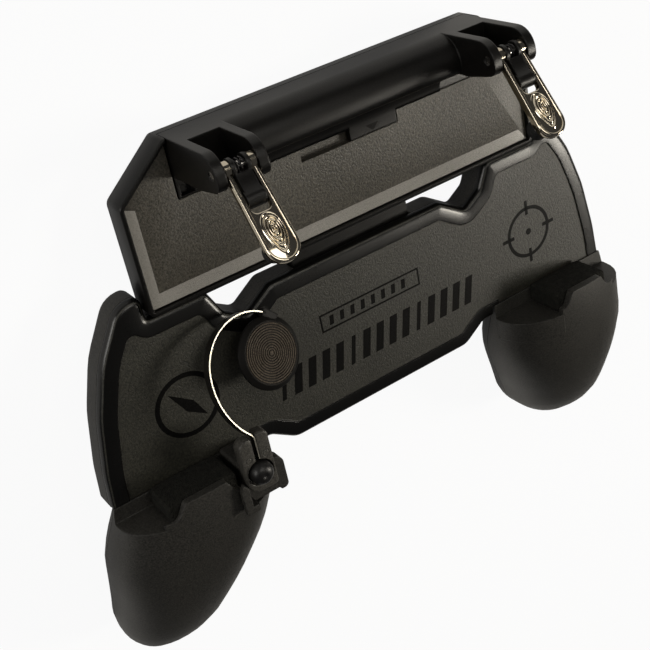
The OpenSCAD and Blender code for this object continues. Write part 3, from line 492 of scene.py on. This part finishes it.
# Joystick clip: bracket in the grips' black, arm and its two rivets in dark grey and a dome-headed pivot
# in glossy black, all moulded. The bracket clips on the grip, the rivets pinch the band in the tines.
arm_grey = plastic("arm_grey", color=(0.056, 0.053, 0.047), gloss=0.36, grain_size=2600, grain_depth=0.15,
                   shine=0.5)
dome_black = plastic("dome_black", color=(0.007, 0.0068, 0.0068), gloss=0.38, grain_size=2600,
                     grain_depth=0.04, shine=0.4)
paint(grip_black, "joystick_bracket")
paint(arm_grey, "joystick_arm", "joystick_rivets")
paint(dome_black, "joystick_pivot")


# Spring band: flat spring steel on edge, bright on its cut edge and dark on its sides. Its tail stands
# in the arm's slot, twists at the kink into a hoop of two arcs that leans to the panel, and ends in the
# thumb pad's socket.
bright = metal("band_edge", (0.62, 0.59, 0.50), smooth=0.30, worn=0.45)
dark = metal("band_side", (0.10, 0.095, 0.085), smooth=0.25, worn=0.40)
kink = np.array((-43.70, -27.70, 12.50))
hoop_lean, lean_way = np.radians(20.638), np.radians(54.2)
upward = np.array((0, 0, 1.0))
tilt = np.array((np.cos(lean_way), np.sin(lean_way), 0))          # way the hoop leans
cross = np.array((-np.sin(lean_way), np.cos(lean_way), 0))        # line it leans about
low_way = np.cos(hoop_lean) * tilt - np.sin(hoop_lean) * upward
hoop_up = np.sin(hoop_lean) * tilt + np.cos(hoop_lean) * upward


def in_hoop(p):
    """Points x, y, z of the hoop's own leaning plane, from the kink, on the panel's axes."""
    p = np.asarray(p, float)
    return (kink + (p[..., :2] @ tilt[:2])[..., None] * low_way
            + (p[..., :2] @ cross[:2])[..., None] * cross + p[..., 2:] * hoop_up)


def arc(mid, r, start, stop, count):
    """Points and inward spokes of an arc in the hoop's plane, angles in degrees."""
    q = np.radians(np.linspace(start, stop, count))
    spoke = np.stack([np.cos(q), np.sin(q), np.zeros(count)], -1)
    return np.array((*mid, 0)) + r * spoke, -spoke


wide_mid, curl_mid = (13.5137, 12.3397), (7.69706, 13.8116)
wide_r, curl_r = 18.3, 12.3
hoop_start, hoop_join, hoop_end = 220.4, 165.8, 50.6              # angles along the two arcs
band_w, band_t = 2.2, 0.3
tail_from, tail_to = -34.0, -28.2
wide, wide_in = arc(wide_mid, wide_r, hoop_start, hoop_join, 40)
curl, curl_in = arc(curl_mid, curl_r, hoop_join, hoop_end, 70)
tail = np.stack([np.full(10, kink[0]), np.linspace(tail_from, tail_to, 10), np.full(10, kink[2])], -1)
lower = (np.vstack([tail, in_hoop(wide)]),
         np.vstack([np.tile((1.0, 0, 0), (len(tail), 1)), in_hoop(wide_in) - kink]),
         np.vstack([np.tile(upward, (len(tail), 1)), np.tile(hoop_up, (len(wide), 1))]))
upper = (in_hoop(curl), in_hoop(curl_in) - kink, np.tile(hoop_up, (len(curl), 1)))
for name, (line, aside, up) in (("band_lower", lower), ("band_upper", upper)):
    # strip: four corners of its section at each point of the line
    grid = np.stack([line + a * band_t / 2 * aside + b * band_w * up
                     for a, b in ((-1, 0), (1, 0), (1, -1), (-1, -1))], 1)
    strip = surface(name, on_panel(with_poles(grid)), bright, closed=True)
    strip.data.materials.append(dark)
    strip.data.polygons.foreach_set("material_index", np.tile((0, 1, 1, 1), len(line) + 1))
    if name == "band_lower":
        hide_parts("spring_band")
        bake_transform(strip)
    else:
        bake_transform(strip)


# Thumb pad: moulded ABS disc with round grooves, pressed on the band's end. Its face is satin
# brown-grey, the bevelled rim and the lug that holds the band are black.
thumb = plastic("thumb_pad", color=(0.060, 0.047, 0.034), gloss=0.45, grain_size=3000, grain_depth=0.08,
                shine=0.10)
n, link = thumb.node_tree.nodes, thumb.node_tree.links.new
body, finish = n["Principled BSDF"], n["Group"]
disc = on_panel(in_hoop((12.7387, 14.4369, 0.4)))    # middle of the face, in the part's frame
disc_up = hoop_up @ np.array([(1, 0, 0), along, out])
face_r, rim_drop = 0.0072, 0.00003                   # metres
where = n.new("ShaderNodeTexCoord")
depth, away = n.new("ShaderNodeVectorMath"), n.new("ShaderNodeVectorMath")
low, far, rim = [n.new("ShaderNodeMath") for _ in range(3)]
depth.operation, away.operation = "DOT_PRODUCT", "DISTANCE"
depth.inputs[1].default_value = disc_up
away.inputs[1].default_value = disc
low.operation, far.operation, rim.operation = "LESS_THAN", "GREATER_THAN", "MAXIMUM"
low.inputs[1].default_value = disc @ disc_up - rim_drop
far.inputs[1].default_value = face_r
shade = n.new("ShaderNodeMix")
shade.data_type = "RGBA"
shade.inputs["B"].default_value = (0.007, 0.0066, 0.0062, 1)
link(where.outputs["Object"], depth.inputs[0])
link(where.outputs["Object"], away.inputs[0])
link(depth.outputs["Value"], low.inputs[0])
link(away.outputs["Value"], far.inputs[0])
link(low.outputs["Value"], rim.inputs[0])
link(far.outputs["Value"], rim.inputs[1])
link(rim.outputs["Value"], shade.inputs["Factor"])
link(finish.outputs["Base Color"], shade.inputs["A"])
link(shade.outputs["Result"], body.inputs["Base Color"])
paint(thumb, "thumb_pad")


# Stage: a white paper sheet on the table and white all round, as the camera, glass and, faintly, gloss
# see them. The sheet keeps a soft shadow and lets a view from below through.
def background_share(tree, faint):
    """Socket that is 1 on camera and transmission rays, faint on glossy rays and 0 on all others."""
    n, link = tree.nodes, tree.links.new
    path, weak, seen, shown = n.new("ShaderNodeLightPath"), *(n.new("ShaderNodeMath") for _ in range(3))
    weak.operation, seen.operation, shown.operation = "MULTIPLY", "MAXIMUM", "MAXIMUM"
    weak.inputs[1].default_value = faint
    link(path.outputs["Is Glossy Ray"], weak.inputs[0])
    link(path.outputs["Is Camera Ray"], seen.inputs[0])
    link(path.outputs["Is Transmission Ray"], seen.inputs[1])
    link(seen.outputs["Value"], shown.inputs[0])
    link(weak.outputs["Value"], shown.inputs[1])
    return shown.outputs["Value"]


paper = bpy.data.materials.new("paper")
paper.use_nodes = True
n, link = paper.node_tree.nodes, paper.node_tree.links.new
body, glow, share, pick = (n["Principled BSDF"], n.new("ShaderNodeEmission"), n.new("ShaderNodeMath"),
                           n.new("ShaderNodeMixShader"))
body.inputs["Base Color"].default_value = (0.8, 0.8, 0.8, 1)
body.inputs["Roughness"].default_value = 0.9
glow.inputs["Color"].default_value = (1, 1, 1, 1)
share.operation = "MULTIPLY"
share.inputs[1].default_value = 0.94      # the rest is lit paper, which takes the shadow
under, clear, sided = (n.new("ShaderNodeNewGeometry"), n.new("ShaderNodeBsdfTransparent"),
                       n.new("ShaderNodeMixShader"))
link(background_share(paper.node_tree, faint=0.15), share.inputs[0])
link(share.outputs["Value"], pick.inputs["Fac"])
link(body.outputs["BSDF"], pick.inputs[1])
link(glow.outputs["Emission"], pick.inputs[2])
link(under.outputs["Backfacing"], sided.inputs["Fac"])
link(pick.outputs["Shader"], sided.inputs[1])
link(clear.outputs["BSDF"], sided.inputs[2])
link(sided.outputs["Shader"], n["Material Output"].inputs["Surface"])
reach = 3.0
ends = np.array([[(-reach, -reach, 0), (reach, -reach, 0)], [(-reach, reach, 0), (reach, reach, 0)]])
floor = surface("floor", ends, paper)
world = bpy.data.worlds.new("studio")
world.use_nodes = True
n, link = world.node_tree.nodes, world.node_tree.links.new
seen, pick = n.new("ShaderNodeBackground"), n.new("ShaderNodeMixShader")
n["Background"].inputs["Color"].default_value = (0.026, 0.026, 0.027, 1)
seen.inputs["Color"].default_value = (1, 1, 1, 1)
link(background_share(world.node_tree, faint=0.02), pick.inputs["Fac"])
link(n["Background"].outputs["Background"], pick.inputs[1])
link(seen.outputs["Background"], pick.inputs[2])
link(pick.outputs["Shader"], n["World Output"].inputs["Surface"])
bpy.context.scene.world = world


# Lights: a warm key over the right side, a smaller one along the left side and a soft one above the
# far edge. All three are square panels that face the part.
aim = np.array((0, 0.01, 0.02))
for name, spot, size, watts, colour in (
        ("key", (0.60, 0.00, 0.55), 0.22, 3.6, (1, 0.94, 0.83)),
        ("side", (-0.65, 0.30, 0.25), 0.30, 1.6, (1, 0.97, 0.92)),
        ("top", (0.05, 0.55, 0.60), 0.40, 1.4, (1, 0.96, 0.88))):
    lamp = bpy.data.lights.new(name, "AREA")
    lamp.size, lamp.energy, lamp.color = size, watts, colour
    stand = bpy.data.objects.new(name, lamp)
    bpy.context.collection.objects.link(stand)
    back = np.array(spot) - aim
    back /= np.linalg.norm(back)
    right = np.cross((0, 0, 1), back)
    right /= np.linalg.norm(right)
    turned = np.eye(4)
    turned[:3, :3] = np.stack([right, np.cross(back, right), back], -1)
    turned[:3, 3] = spot
    stand.matrix_world = Matrix(turned.tolist())


# Camera: place, aim and lens as fitted to the photograph, on the panel's axes and in millimetres. Its
# right, up and backward directions are given as rows.
eye_at = (-124.884, 116.117, 209.971)
eye_turn = [(0.814964, -0.183845, 0.549577), (0.411247, 0.851638, -0.324945),
            (-0.408301, 0.490830, 0.769660)]
lens = bpy.data.cameras.new("camera")
lens.lens, lens.sensor_width = 63.23, 36
lens.clip_start = 0.01
eye = bpy.data.objects.new("camera", lens)
bpy.context.collection.objects.link(eye)
turned = np.eye(4)
turned[:3, :3] = np.dot(eye_turn, [(1, 0, 0), along, out]).T
turned[:3, 3] = on_panel(eye_at)
eye.matrix_world = Matrix(turned.tolist())
bpy.context.scene.camera = eye
bpy.context.scene.view_settings.view_transform = "Standard"
